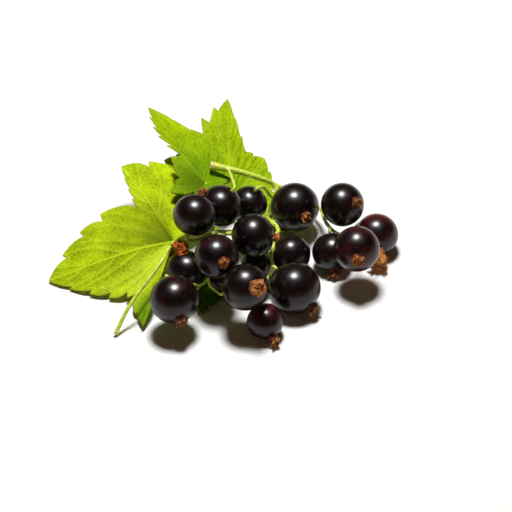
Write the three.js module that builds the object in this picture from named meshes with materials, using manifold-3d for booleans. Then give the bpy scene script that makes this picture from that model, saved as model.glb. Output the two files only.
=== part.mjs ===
// A sprig of blackcurrants as picked, lying on a table: a green fruit stalk with two side stalks,
// eighteen berries on thin pedicels, the brown dried flower at the far end of each berry,
// and four lobed, toothed leaves under and behind the fruit.
// Millimetres, +Z up. X runs across the picture, Y away from the eye, and the table is z = 0.
import * as THREE from "three";
import { mergeVertices } from "three/addons/utils/BufferGeometryUtils.js";
import Module from "manifold-3d";

const { Vector2, Vector3, Color } = THREE;
const wasm = await Module();
wasm.setup();

// Driving dimensions
const EYE_TILT = THREE.MathUtils.degToRad(40); // how far above the horizon the picture looks from
const ORIGIN = new Vector3(-0.28, 9.12, 0); // the middle of the sprig's outline on the table
const TABLE_WIDTH = 200;
const TABLE_DEPTH = 40;
const BERRY_DETAIL = 3;
const BLADE_THICKNESS = 0.7;
const RIB_DEPTH = 0.45; // how far a main rib stands out below the blade
const PETIOLE_RADIUS = 0.6;
const STALK_SIDES = 8;
const CUT_END_SWELL = 0.25; // the stalk's cut end is this much thicker
const CUT_END_FADE = 30; // and soon gets thinner along its length
const PEDICEL_SIDES = 6;
const PEDICEL_RADIUS = 0.38;
const PEDICEL_END_RADIUS = 0.55; // a pedicel widens where it meets its berry
const PEDICEL_WIDENS_AT = 0.8; // as a share of its length
const PEDICEL_REACH = 2.5; // how far over its seat a pedicel starts to bend
const PEDICEL_STRAIGHT = 0.8; // its last stretch runs straight on to the seat
const PEDICEL_STEPS = 11;
const BERRY_CLEARANCE = 0.45; // free space kept between a stalk and any berry
const SEAT_GAP = 0.06; // free space between a berry and what sits on it

// A vector given as it is seen: to the right, up the picture, and towards the eye.
function seenDirection(right, up, towards) {
  const sin = Math.sin(EYE_TILT);
  const cos = Math.cos(EYE_TILT);
  return new Vector3(right, up * sin - towards * cos, up * cos + towards * sin);
}

// A point given by its place in the picture and its height over the table.
function seenAt(across, up, height) {
  const y = (up - height * Math.cos(EYE_TILT)) / Math.sin(EYE_TILT);
  return new Vector3(across, y, height);
}

const at = (x, y, z) => new Vector3(x, y, z);

// Berries: [across, up the picture, height of the middle], radius, and the way the dried flower
// points as it is seen. The pedicel comes from a stalk, at a share of that stalk's length, and by
// holds places that it passes.
const BERRIES = [
  { seen: [-6.8, 12.4, 19.0], radius: 4.8, flower: [0.33, 0.93, -0.15], from: ["left", 0.3] },
  { seen: [-0.9, 14.5, 16.0], radius: 4.75, flower: [-0.5, -0.65, -0.5], from: ["main", 0.07] },
  { seen: [5.5, 15.1, 12.5], radius: 4.05, flower: [-0.3, -0.6, -0.6], from: ["main", 0.34] },
  { seen: [15.9, 14.4, 7.2], radius: 5.55, flower: [0.45, -0.41, 0.79], from: ["right", 0.22] },
  { seen: [6.4, 7.8, 13.5], radius: 4.9, flower: [0.97, -0.08, 0.2], from: ["left", 0.08] },
  { seen: [-1.8, 3.1, 14.9], radius: 4.95, flower: [0.36, -0.3, 0.88], sepals: 1.2, from: ["left", 0.5] },
  { seen: [4.7, -3.75, 12.2], radius: 5.2, flower: [0.5, -0.03, 0.86], from: ["left", 1.0] },
  { seen: [15.7, -4.1, 5.75], radius: 5.9, flower: [0.67, -0.72, 0.15], from: ["main", 0.85] },
  { seen: [15.0, 3.6, 4.3], radius: 4.4, flower: [0.5, -0.6, 0.5], from: ["main", 0.62] },
  { seen: [24.3, 4.1, 4.4], radius: 4.5, flower: [0.1, -0.95, 0.2], from: ["right", 0.62] },
  { seen: [26.7, 14.9, 11.5], radius: 4.9, flower: [0.67, 0.08, 0.74], from: ["right", 0.5] },
  { seen: [29.8, 4.8, 11.0], radius: 5.15, flower: [0.02, -0.52, 0.85], from: ["right", 0.9] },
  {
    seen: [34.5, 8.05, 4.75],
    radius: 4.9,
    flower: [0.05, -0.82, 0.57],
    sepals: 4.6,
    from: ["right", 1.0],
    by: [seenAt(31.4, 9.6, 2.8)],
  },
  { seen: [9.1, -11.4, 4.0], radius: 4.1, flower: [0.42, -0.85, 0.3], sepals: 3.4, from: ["main", 1.0] },
  {
    seen: [-11.2, -6.5, 9.3],
    radius: 5.45,
    flower: [0.3, -0.86, 0.42],
    from: ["left", 0.85],
    by: [seenAt(-7.5, -5.0, 6.5), seenAt(-9.85, -3.0, 8.6)],
  },
  { seen: [-8.7, 0.0, 8.0], radius: 4.5, flower: [-0.2, 0.93, 0.3], from: ["left", 0.62] },
  { seen: [-0.2, -1.8, 5.8], radius: 3.6, flower: [0.35, 0.2, 0.9], from: ["left", 0.74] },
  { seen: [7.3, 1.6, 3.5], radius: 3.6, flower: [-0.5, -0.5, -0.6], from: ["main", 0.76] },
].map((berry, i) => ({
  ...berry,
  number: String(i + 1).padStart(2, "0"),
  middle: seenAt(...berry.seen),
  axis: seenDirection(...berry.flower).normalize(),
}));

// Stalks: their routes between the berries, from the cut end outwards, with the radius at each end.
const STALKS = {
  main: {
    radii: [0.8, 0.42],
    route: [
      seenAt(-3.4, 23.9, 15.0),
      seenAt(2.3, 22.7, 13.6),
      seenAt(7.3, 21.2, 11.4),
      seenAt(11.1, 19.6, 8.5),
      seenAt(11.9, 17.4, 7.0),
      seenAt(10.6, 15.2, 5.0),
      seenAt(9.9, 13.2, 4.8),
      seenAt(11.2, 11.0, 6.4),
      seenAt(12.2, 8.6, 7.4),
      seenAt(11.1, 5.7, 8.0),
      seenAt(10.4, 3.2, 7.6),
      seenAt(10.9, 0.4, 6.5),
      seenAt(8.6, -3.2, 4.8),
      seenAt(7.0, -6.0, 6.0),
    ],
  },
  right: {
    radii: [0.55, 0.4],
    route: [
      seenAt(11.1, 19.6, 8.5),
      seenAt(13.4, 18.7, 7.3),
      seenAt(15.9, 16.9, 5.2),
      seenAt(19.2, 15.6, 4.0),
      seenAt(21.8, 14.0, 5.0),
      seenAt(22.6, 11.7, 6.6),
      seenAt(24.3, 9.2, 6.0),
      seenAt(26.6, 7.8, 5.0),
      seenAt(29.0, 7.0, 5.0),
    ],
  },
  left: {
    radii: [0.5, 0.38],
    route: [
      seenAt(11.2, 11.0, 6.4),
      seenAt(7.6, 9.6, 8.2),
      seenAt(1.6, 8.7, 11.6),
      seenAt(-2.3, 8.6, 12.4),
      seenAt(-5.5, 6.8, 12.0),
      seenAt(-4.4, 2.7, 10.5),
      seenAt(-3.9, -0.5, 8.5),
      seenAt(-3.4, -2.5, 7.0),
      seenAt(-2.5, -4.1, 6.0),
      seenAt(-0.7, -5.5, 5.6),
    ],
  },
};

// Leaves: the place where the petiole meets the blade, then the lobes from one side of the
// petiole round to the other, each with the angle of its rib in the flat leaf, the place of its
// tip and the count of teeth on its two sides. Where they differ from the rule, full tells how far
// the two sides swell, depth how deep their teeth are cut, first how many teeth's room the first
// one takes, and notch where the notch after the lobe lies, as angle and distance. heel is the way
// in which the petiole's notch opens, a fold is an angle at which the blade dips towards a place,
// and bow lifts or sways the middle of the blade.
const LEAVES = [
  {
    name: "leaf_left",
    junction: at(-11.5, -2.0, 10.0),
    heel: at(1, 0.6, 0.1),
    bow: at(0, 0, 1.0),
    lobes: [
      { angle: -120, tip: at(-6.5, 6.0, 9.5), teeth: [2, 2], full: [0.32, 0.15], notch: [-92, 7.6] },
      {
        angle: -62,
        tip: at(-23.4, 23.0, 10.4),
        teeth: [9, 4],
        first: [8, 1],
        depth: [0.9, 0.14],
        full: [1.12, 0.08],
        notch: [-50, 13.5],
      },
      {
        angle: 0,
        tip: at(-39.0, -4.5, 0.8),
        teeth: [5, 5],
        first: [2, 1],
        depth: [0.33, 0.2],
        full: [0.46, 0.4],
        notch: [50, 13.5],
      },
      { angle: 62, tip: at(-18.2, -20.7, 0.8), teeth: [3, 3], full: [0.24, 0.34] },
      { angle: 118, tip: at(-14.2, -5.4, 6.6), teeth: [1, 1] },
    ],
    folds: [{ angle: 46, place: at(-19.3, -10.6, 2.4) }],
    petiole: [at(-13, -7.2, 11.5), at(-14.6, -11.7, 11.5), at(-21, -18.7, 6), at(-24.5, -23, 0.6)],
  },
  {
    name: "leaf_back_left",
    junction: at(-4.5, 15.3, 13.0),
    heel: at(0.8, -0.6, -0.2),
    bow: at(1.5, 0.6, 1.0),
    lobes: [
      { angle: -118, tip: at(0.5, 18.3, 10.5), teeth: [2, 2] },
      { angle: -60, tip: at(-4.6, 29.0, 12.0), teeth: [3, 1], notch: [-50, 14.2] },
      {
        angle: 0,
        tip: at(-17.4, 38.1, 16.0),
        teeth: [3, 5],
        depth: [0.03, 0.28],
        full: [0.3, 0.5],
        notch: [38, 9.6],
      },
      { angle: 60, tip: at(-13.6, 21.5, 14.0), teeth: [3, 3], full: [0.1, 0.32] },
      { angle: 118, tip: at(-13.4, 10.3, 13.0), teeth: [2, 2] },
    ],
    folds: [],
    petiole: [at(-2.6, 12.0, 10.0), at(-1.8, 10.6, 6.0), at(-2.5, 8.0, 1.2)],
  },
  {
    name: "leaf_back_right",
    junction: at(0.9, 22.9, 1.5),
    heel: at(0.3, -1, 0),
    bow: at(0, 0, 0.4),
    lobes: [
      { angle: -118, tip: at(16.4, 12.9, 0.5), teeth: [3, 3], full: [0.5, 0.32] },
      { angle: -60, tip: at(8.8, 35.3, 3.0), teeth: [3, 2], notch: [-30, 14] },
      {
        angle: 0,
        tip: at(0.4, 46.4, 11.8),
        teeth: [3, 5],
        depth: [0.08, 0.5],
        full: [0.15, 0.34],
        notch: [36.5, 13.2],
      },
      { angle: 60, tip: at(-13.6, 28.5, 8.4), teeth: [3, 3] },
      { angle: 118, tip: at(-8.0, 15.0, 4.5), teeth: [2, 2], full: [0.32, 0.6] },
    ],
    folds: [],
    petiole: [at(2.0, 18.0, 1.2), at(3.5, 12.0, 1.0), at(6.0, 7.0, 0.8)],
  },
  {
    name: "leaf_under",
    junction: at(0, -2.0, 1.4),
    heel: at(0.2, 1, 0),
    bow: at(0, 0, 0.1),
    lobes: [
      { angle: -118, tip: at(-5.0, 3.0, 1.2), teeth: [1, 1] },
      { angle: -60, tip: at(-9.5, -6.0, 0.7), teeth: [2, 2] },
      { angle: 0, tip: at(-5.8, -15.6, 0.5), teeth: [4, 4] },
      { angle: 60, tip: at(4.2, -10.5, 0.6), teeth: [2, 2] },
      { angle: 118, tip: at(3.0, -1.6, 1.0), teeth: [1, 1] },
    ],
    folds: [],
    petiole: [at(0.4, 0.6, 1.3), at(1.2, 3.5, 0.8)],
  },
];

// Leaf form, as shares of the lobes beside it
const SINUS_SHARE = 0.56; // how far out the notch between two lobes lies
const HEEL_RADIUS = 1.4; // the notch where the petiole comes in
const LOBE_FULLNESS = 0.32; // how wide a lobe's side swells, unless its own is given
const SWELL_PLACE = 0.45; // where along a lobe's side it swells most
const TOOTH_DEPTH = 0.2; // as a share of a tooth's length, unless a side's own is given
const DEPTH_AT_FOOT = 1.5; // teeth are cut deeper at a lobe's foot
const DEPTH_LOSS = 1.1; // and lose this much towards its tip
const TOOTH = { start: -0.45, belly: 0.35, bellyPlace: 0.45, point: 0.75 }; // shares of its depth
const SLACK = 1.03; // a rib is this much longer than the straight way to its tip
const RING_SHARES = [0.22, 0.44, 0.66];
const RING_POINTS_A_GAP = 5;

const COLOURS = {
  berry: new Color(0x0d0709),
  flower: new Color(0x8a4a22),
  stalk: new Color(0xb9c43a),
  leaf: new Color(0x8fb414),
};
const MATERIALS = {
  berry: new THREE.MeshStandardMaterial({ color: COLOURS.berry, roughness: 0.22, metalness: 0 }),
  flower: new THREE.MeshStandardMaterial({ color: COLOURS.flower, roughness: 0.85, metalness: 0 }),
  stalk: new THREE.MeshStandardMaterial({ color: COLOURS.stalk, roughness: 0.5, metalness: 0 }),
  leaf: new THREE.MeshStandardMaterial({ color: COLOURS.leaf, roughness: 0.55, metalness: 0 }),
};

// Solids and meshes

function geometryOf(points, triangles) {
  const geometry = new THREE.BufferGeometry();
  const numbers = points.flatMap((point) => point.toArray());
  geometry.setAttribute("position", new THREE.Float32BufferAttribute(numbers, 3));
  geometry.setIndex(triangles.flat());
  return geometry;
}

function solidOf(geometry) {
  const bare = geometry.clone();
  bare.deleteAttribute("normal");
  bare.deleteAttribute("uv");
  const merged = mergeVertices(bare, 1e-5);
  const mesh = new wasm.Mesh({
    numProp: 3,
    vertProperties: merged.attributes.position.array,
    triVerts: new Uint32Array(merged.index.array),
  });
  return new wasm.Manifold(mesh);
}

function geometryOfSolid(solid) {
  const mesh = solid.getMesh();
  const geometry = new THREE.BufferGeometry();
  geometry.setAttribute("position", new THREE.BufferAttribute(mesh.vertProperties, 3));
  geometry.setIndex(new THREE.BufferAttribute(mesh.triVerts, 1));
  return geometry;
}

// Joining solids can leave crumbs where faces graze each other. The largest body is the piece.
function withoutCrumbs(solid) {
  return solid.decompose().reduce((best, body) => (body.volume() > best.volume() ? body : best));
}

// A closed skin over rings of equally many points, each end closed by a fan to its middle.
function loft(rings) {
  const count = rings[0].length;
  const points = rings.flat();
  const triangles = [];
  for (let r = 0; r < rings.length - 1; r++) {
    for (let i = 0; i < count; i++) {
      const a = r * count + i;
      const b = r * count + ((i + 1) % count);
      triangles.push([a, b, b + count], [a, b + count, a + count]);
    }
  }
  for (const [ring, first, flip] of [
    [rings[0], 0, true],
    [rings[rings.length - 1], (rings.length - 1) * count, false],
  ]) {
    const middle = ring.reduce((sum, p) => sum.add(p), new Vector3()).divideScalar(count);
    points.push(middle);
    for (let i = 0; i < count; i++) {
      const a = first + i;
      const b = first + ((i + 1) % count);
      triangles.push(flip ? [b, a, points.length - 1] : [a, b, points.length - 1]);
    }
  }
  return geometryOf(points, triangles);
}

// Two directions square to a given one, turning with it the right way round.
function squareTo(direction) {
  const helper = Math.abs(direction.z) < 0.9 ? new Vector3(0, 0, 1) : new Vector3(1, 0, 0);
  const side = new Vector3().crossVectors(helper, direction).normalize();
  return [side, new Vector3().crossVectors(direction, side)];
}

// A round stalk along a smooth curve. radiusAt gives the radius at each share of the length.
function tube(curve, steps, sides, radiusAt) {
  let [side, other] = squareTo(curve.getTangent(0));
  const rings = [];
  for (let i = 0; i <= steps; i++) {
    const share = i / steps;
    const tangent = curve.getTangent(share);
    side = side.clone().addScaledVector(tangent, -side.dot(tangent)).normalize();
    other = new Vector3().crossVectors(tangent, side);
    const middle = curve.getPoint(share);
    const ring = [];
    for (let k = 0; k < sides; k++) {
      const turn = (2 * Math.PI * k) / sides;
      ring.push(
        middle
          .clone()
          .addScaledVector(side, radiusAt(share) * Math.cos(turn))
          .addScaledVector(other, radiusAt(share) * Math.sin(turn)),
      );
    }
    rings.push(ring);
  }
  return loft(rings);
}

// Berries and their dried flowers

const slab = new THREE.BoxGeometry(TABLE_WIDTH, TABLE_WIDTH, TABLE_DEPTH);
const table = solidOf(slab.translate(0, 0, -TABLE_DEPTH / 2));

function berrySolid({ middle, radius }) {
  const ball = new THREE.IcosahedronGeometry(radius, BERRY_DETAIL).translate(middle.x, middle.y, middle.z);
  return solidOf(ball).subtract(table);
}

// The dried flower: a narrow neck that opens into five shrivelled, pointed sepals.
const FLOWER_SEPALS = 5;
const SEPAL_LENGTH = 2.6; // unless a berry's own is given
const FLOWER_TURN = 1.3; // each flower is turned on by this much more about its axis
const FLOWER_BERRY_RADIUS = 4.8; // the berry that the profile is made for
const RAGGEDNESS = 0.25;
const VALLEY_RISE = 0.75; // how high the edge reaches between two sepals
const FLOWER_PROFILE = [
  { along: 0, valley: 1.0, ridge: 1.15 },
  { along: 0.35, valley: 0.75, ridge: 0.95 },
  { along: 0.7, valley: 0.85, ridge: 1.35 },
  { along: 1.0, valley: 0.5, ridge: 0.95 },
];

function flowerSolid({ middle, radius, axis, number, sepals = SEPAL_LENGTH }) {
  const turnBy = Number(number) * FLOWER_TURN;
  const size = radius / FLOWER_BERRY_RADIUS;
  const [side, other] = squareTo(axis);
  const seat = middle.clone().addScaledVector(axis, radius + SEAT_GAP);
  const rings = FLOWER_PROFILE.map(({ along, valley, ridge }) => {
    const ring = [];
    for (let k = 0; k < 2 * FLOWER_SEPALS; k++) {
      const isRidge = k % 2 === 0;
      const turn = turnBy + (Math.PI * k) / FLOWER_SEPALS;
      const reach = size * (isRidge ? ridge : valley);
      const ragged = RAGGEDNESS * Math.sin(3 * k + Number(number));
      const rise = along * (sepals * (isRidge ? 1 : VALLEY_RISE) + ragged);
      ring.push(
        seat
          .clone()
          .addScaledVector(axis, rise)
          .addScaledVector(side, reach * Math.cos(turn))
          .addScaledVector(other, reach * Math.sin(turn)),
      );
    }
    return ring;
  });
  return solidOf(loft(rings)).subtract(table);
}

// The stalk and its pedicels

function clearOfBerries(points, radius, ease, own) {
  for (let pass = 0; pass < 60; pass++) {
    for (let i = 1; i < points.length - 1; i++) {
      for (const berry of BERRIES) {
        const nearEnd = berry === own && i > points.length - 3;
        if (nearEnd) continue;
        const away = points[i].clone().sub(berry.middle);
        const wanted = berry.radius + radius + BERRY_CLEARANCE;
        if (away.length() < wanted) points[i].copy(berry.middle).addScaledVector(away.normalize(), wanted);
      }
    }
    for (let i = 2; i < points.length - 2; i++) {
      const between = points[i - 1].clone().add(points[i + 1]).multiplyScalar(0.5);
      points[i].lerp(between, ease);
    }
  }
  return points;
}

function pedicelCurve(berry) {
  const [stalkName, share] = berry.from;
  const root = stalkCurves[stalkName].getPointAt(share);
  const end = berry.middle.clone().addScaledVector(berry.axis, -(berry.radius + SEAT_GAP));
  const above = (height) => end.clone().addScaledVector(berry.axis, -height);
  const reach = Math.min(PEDICEL_REACH, root.distanceTo(end) * 0.4);
  const start = root.clone().lerp(above(reach), 0.4);
  const last = above(PEDICEL_STRAIGHT);
  const bend = berry.by
    ? new THREE.CatmullRomCurve3([root, ...berry.by, last])
    : new THREE.CubicBezierCurve3(root, start, above(reach), last);
  const points = clearOfBerries(bend.getPoints(PEDICEL_STEPS - 2), PEDICEL_END_RADIUS, 0.25, berry);
  return new THREE.CatmullRomCurve3([...points, above(PEDICEL_STRAIGHT / 2), end]);
}

const stalkCurves = Object.fromEntries(
  Object.entries(STALKS).map(([name, { radii, route }]) => {
    const points = new THREE.CatmullRomCurve3(route).getPoints(2 * route.length);
    return [name, new THREE.CatmullRomCurve3(clearOfBerries(points, radii[0], 0))];
  }),
);

function stalkSolid() {
  let whole = null;
  const join = (geometry) => {
    const solid = solidOf(geometry);
    whole = whole ? whole.add(solid) : solid;
  };
  for (const [name, { radii, route }] of Object.entries(STALKS)) {
    const radiusAt = (share) => {
      const cutEnd = name === "main" ? CUT_END_SWELL * Math.exp(-share * CUT_END_FADE) : 0;
      return THREE.MathUtils.lerp(radii[0], radii[1], Math.sqrt(share)) + cutEnd;
    };
    join(tube(stalkCurves[name], 2 * route.length, STALK_SIDES, radiusAt));
  }
  for (const berry of BERRIES) {
    const radiusAt = (share) => {
      const widening = Math.max(0, share - PEDICEL_WIDENS_AT) / (1 - PEDICEL_WIDENS_AT);
      return THREE.MathUtils.lerp(PEDICEL_RADIUS, PEDICEL_END_RADIUS, widening);
    };
    join(tube(pedicelCurve(berry), PEDICEL_STEPS, PEDICEL_SIDES, radiusAt));
  }
  return whole;
}

// Leaves

const PLAIN_SIDES = {
  first: [1, 1],
  depth: [TOOTH_DEPTH, TOOTH_DEPTH],
  full: [LOBE_FULLNESS, LOBE_FULLNESS],
};

// The ribs' directions turned into one smooth fan: for any angle in the flat leaf, the way in
// space that a line from the junction takes.
function ribFan(leaf) {
  const ribs = leaf.lobes.map((lobe) => {
    const span = lobe.tip.clone().sub(leaf.junction);
    const length = span.length() * SLACK;
    const flatAngle = THREE.MathUtils.degToRad(lobe.angle);
    return { ...PLAIN_SIDES, ...lobe, angle: flatAngle, way: span.normalize(), length };
  });
  const folds = leaf.folds.map(({ angle, place }) => ({
    angle: THREE.MathUtils.degToRad(angle),
    way: place.clone().sub(leaf.junction).normalize(),
  }));
  const heel = leaf.heel.clone().normalize();
  const closed = [
    { angle: -Math.PI, way: heel },
    ...[...ribs, ...folds].sort((a, b) => a.angle - b.angle),
    { angle: Math.PI, way: heel },
  ];
  const wayAt = (angle) => {
    let i = 0;
    while (i < closed.length - 2 && angle > closed[i + 1].angle) i++;
    const [a, b] = [closed[i], closed[i + 1]];
    const before = closed[Math.max(i - 1, 0)];
    const after = closed[Math.min(i + 2, closed.length - 1)];
    const t = (angle - a.angle) / (b.angle - a.angle);
    const step = b.angle - a.angle;
    const slopeA = b.way.clone().sub(before.way).multiplyScalar(step / (b.angle - before.angle));
    const slopeB = after.way.clone().sub(a.way).multiplyScalar(step / (after.angle - a.angle));
    return a.way
      .clone()
      .multiplyScalar(2 * t ** 3 - 3 * t ** 2 + 1)
      .addScaledVector(slopeA, t ** 3 - 2 * t ** 2 + t)
      .addScaledVector(b.way, -2 * t ** 3 + 3 * t ** 2)
      .addScaledVector(slopeB, t ** 3 - t ** 2)
      .normalize();
  };
  return { ribs, wayAt };
}

const polar = (radius, angle) => new Vector2(radius * Math.cos(angle), radius * Math.sin(angle));

// The notches between the lobes, with the two beside the petiole at the ends.
function sinuses(ribs) {
  const found = [{ angle: -Math.PI, radius: HEEL_RADIUS }];
  for (let i = 0; i < ribs.length - 1; i++) {
    const [a, b] = [ribs[i], ribs[i + 1]];
    if (a.notch) {
      found.push({ angle: THREE.MathUtils.degToRad(a.notch[0]), radius: a.notch[1] });
      continue;
    }
    const lean = a.length / (a.length + b.length);
    found.push({
      angle: THREE.MathUtils.lerp(a.angle, b.angle, 0.3 + 0.4 * lean),
      radius: SINUS_SHARE * Math.min(a.length, b.length) ** 0.75 * Math.max(a.length, b.length) ** 0.25,
    });
  }
  found.push({ angle: Math.PI, radius: HEEL_RADIUS });
  return found;
}

// One side of a lobe from the notch at its foot to its tip, cut into forward-pointing teeth.
function lobeSide(rib, notch, turn) {
  const hand = turn < 0 ? 0 : 1;
  const teeth = rib.teeth[hand];
  const foot = polar(notch.radius, notch.angle);
  const tip = polar(rib.length, rib.angle);
  const outward = polar(1, rib.angle + (turn * Math.PI) / 2);
  const footAlong = notch.radius * Math.cos(notch.angle - rib.angle);
  const along = THREE.MathUtils.lerp(footAlong, rib.length, SWELL_PLACE);
  const swell = polar(along, rib.angle).addScaledVector(outward, rib.full[hand] * rib.length);
  const side = new THREE.QuadraticBezierCurve(foot, swell, tip);
  const square = (share) => {
    const tangent = side.getTangent(share);
    return new Vector2(-turn * tangent.y, turn * tangent.x);
  };
  const place = (share, out) => {
    const depth = rib.depth[hand] * (DEPTH_AT_FOOT - DEPTH_LOSS * share) * (side.getLength() / teeth);
    return side.getPoint(share).addScaledVector(square(share), out * depth);
  };
  const points = [];
  let start = 0;
  for (let k = rib.first[hand]; k <= teeth; k++) {
    const end = k / teeth;
    if (start > 0) points.push(place(start, TOOTH.start));
    points.push(place(THREE.MathUtils.lerp(start, end, TOOTH.bellyPlace), TOOTH.belly));
    if (k < teeth) points.push(place(end, TOOTH.point));
    start = end;
  }
  return points;
}

// The flat leaf's outline, anticlockwise from the heel.
function leafOutline(ribs) {
  const notches = sinuses(ribs);
  const points = [];
  ribs.forEach((rib, i) => {
    points.push(polar(notches[i].radius, notches[i].angle));
    points.push(...lobeSide(rib, notches[i], -1));
    points.push(polar(rib.length, rib.angle));
    points.push(...lobeSide(rib, notches[i + 1], 1).reverse());
  });
  return points;
}

// Rings inside the outline, with a point on every rib and every notch.
function ringAngles(ribs) {
  const marks = [];
  const notches = sinuses(ribs);
  ribs.forEach((rib, i) => {
    marks.push(notches[i], { angle: rib.angle, radius: rib.length, onRib: true });
  });
  marks.push(notches[notches.length - 1]);
  const found = [];
  for (let i = 0; i < marks.length - 1; i++) {
    const [a, b] = [marks[i], marks[i + 1]];
    const count = i === 0 || i === marks.length - 2 ? RING_POINTS_A_GAP - 2 : RING_POINTS_A_GAP - 3;
    for (let k = 0; k < count; k++) {
      const t = k / count;
      const ease = (1 - Math.cos(Math.PI * t)) / 2;
      found.push({
        angle: THREE.MathUtils.lerp(a.angle, b.angle, t),
        radius: THREE.MathUtils.lerp(a.radius, b.radius, a.onRib ? Math.sqrt(t) : 1 - Math.sqrt(1 - ease)),
        onRib: k === 0 && a.onRib === true,
      });
    }
  }
  return found;
}

function bladeGeometry(leaf) {
  const { ribs, wayAt } = ribFan(leaf);
  const longest = Math.max(...ribs.map((rib) => rib.length));
  const flat = [new Vector2(0, 0)];
  const thick = [RIB_DEPTH];
  const triangles = [];
  const ring = ringAngles(ribs);
  RING_SHARES.forEach((share) => {
    ring.forEach(({ angle, radius, onRib }) => {
      flat.push(polar(share * radius, angle));
      thick.push(onRib ? RIB_DEPTH * (1 - share) : 0);
    });
  });
  const count = ring.length;
  for (let i = 0; i < count; i++) {
    const next = (i + 1) % count;
    triangles.push([0, 1 + i, 1 + next]);
    for (let r = 0; r < RING_SHARES.length - 1; r++) {
      const [a, b] = [1 + r * count + i, 1 + r * count + next];
      triangles.push([a, a + count, b + count], [a, b + count, b]);
    }
  }
  const outline = leafOutline(ribs);
  const rim = flat.length;
  outline.forEach((point) => {
    flat.push(point);
    thick.push(0);
  });
  const innerFirst = 1 + (RING_SHARES.length - 1) * count;
  const hole = flat.slice(innerFirst, innerFirst + count);
  const band = THREE.ShapeUtils.triangulateShape(outline, [hole]);
  const number = (i) => (i < outline.length ? rim + i : innerFirst + i - outline.length);
  triangles.push(...band.map((triangle) => triangle.map(number)));

  const place = ({ x, y }) => {
    const radius = Math.hypot(x, y);
    const t = Math.min(1, radius / longest);
    return leaf.junction
      .clone()
      .addScaledVector(wayAt(Math.atan2(y, x)), radius)
      .addScaledVector(leaf.bow, 4 * t * (1 - t));
  };
  const middle = flat.map(place);
  const normals = middle.map(() => new Vector3());
  triangles.forEach(([a, b, c]) => {
    const normal = middle[b].clone().sub(middle[a]).cross(middle[c].clone().sub(middle[a]));
    [a, b, c].forEach((i) => normals[i].add(normal));
  });
  normals.forEach((normal) => normal.normalize());
  const size = flat.length;
  const points = [
    ...middle.map((p, i) => p.clone().addScaledVector(normals[i], BLADE_THICKNESS / 2)),
    ...middle.map((p, i) => p.clone().addScaledVector(normals[i], -BLADE_THICKNESS / 2 - thick[i])),
  ];
  const walls = outline.flatMap((_, i) => {
    const a = rim + i;
    const b = rim + ((i + 1) % outline.length);
    return [
      [a, b + size, b],
      [a, a + size, b + size],
    ];
  });
  const under = triangles.map(([a, b, c]) => [a + size, c + size, b + size]);
  return geometryOf(points, [...triangles, ...under, ...walls]);
}

function leafSolid(leaf) {
  const blade = solidOf(bladeGeometry(leaf));
  const curve = new THREE.CatmullRomCurve3([leaf.junction, ...leaf.petiole]);
  const petiole = solidOf(tube(curve, 4 * leaf.petiole.length, PEDICEL_SIDES, () => PETIOLE_RADIUS));
  return withoutCrumbs(blade.add(petiole).subtract(table));
}

// The whole sprig

const sprig = new THREE.Group();
sprig.position.copy(ORIGIN).negate();

function addPiece(name, solid, material) {
  const mesh = new THREE.Mesh(geometryOfSolid(solid), MATERIALS[material]);
  mesh.name = name;
  sprig.add(mesh);
}

addPiece("fruit_stalk", stalkSolid(), "stalk");
for (const berry of BERRIES) {
  addPiece(`berry_${berry.number}`, berrySolid(berry), "berry");
  addPiece(`dried_flower_${berry.number}`, flowerSolid(berry), "flower");
}
for (const leaf of LEAVES) {
  addPiece(leaf.name, leafSolid(leaf), "leaf");
}

export default sprig;
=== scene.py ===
# A sprig of blackcurrants as picked, lying on a white surface: glossy near-black berries with
# their dried flowers, the green stalk that carries them, and four lobed, toothed, veined leaves.
# Lengths are in millimetres until a mesh is made. The frame is in metres.
import math
import random

import bpy
import numpy as np
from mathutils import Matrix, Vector, noise
from mathutils.geometry import delaunay_2d_cdt


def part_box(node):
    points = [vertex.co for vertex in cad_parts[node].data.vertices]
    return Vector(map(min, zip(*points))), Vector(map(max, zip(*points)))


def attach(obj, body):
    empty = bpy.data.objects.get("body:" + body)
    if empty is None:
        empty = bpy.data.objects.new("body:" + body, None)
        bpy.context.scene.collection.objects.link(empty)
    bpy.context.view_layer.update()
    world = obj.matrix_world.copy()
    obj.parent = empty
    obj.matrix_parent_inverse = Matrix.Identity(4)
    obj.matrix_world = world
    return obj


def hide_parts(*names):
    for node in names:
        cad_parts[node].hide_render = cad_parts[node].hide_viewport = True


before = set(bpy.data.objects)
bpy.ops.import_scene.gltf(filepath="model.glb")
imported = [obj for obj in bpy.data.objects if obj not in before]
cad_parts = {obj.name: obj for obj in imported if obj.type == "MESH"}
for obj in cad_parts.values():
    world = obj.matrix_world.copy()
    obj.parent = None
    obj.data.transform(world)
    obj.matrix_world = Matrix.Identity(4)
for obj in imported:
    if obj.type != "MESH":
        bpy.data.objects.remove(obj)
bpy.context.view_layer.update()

MM = 0.001
ROOT = "root"
EYE_TILT = math.radians(40)  # how steeply the camera looks down
EYE_SIN = math.sin(EYE_TILT)
EYE_COS = math.cos(EYE_TILT)
ORIGIN = np.array([-0.28, 9.12, 0.0])  # the middle of the sprig, as the leaves and stalk are placed
NOISE_ROUGHNESS = 0.55

# Berries. Depths are shares of the radius, and spreads are angles from the pole in radians.
BERRY_COUNT = 18
BERRY_TURNS = 80
BERRY_RINGS = 56
FLOWER_DIMPLE = 0.05
FLOWER_DIMPLE_SPREAD = 0.24
STALK_DIMPLE = 0.04
STALK_DIMPLE_SPREAD = 0.2
BERRY_FLATTENING = 0.012
BERRY_UNEVENNESS = 0.012
SCAR_SPREAD = 0.23
REDNESS = {12: 1.0, 13: 0.9, 14: 1.0, 11: 0.35, 15: 0.45, 6: 0.6, 7: 0.25, 10: 0.5}
PLAIN_REDNESS = 0.22

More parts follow.
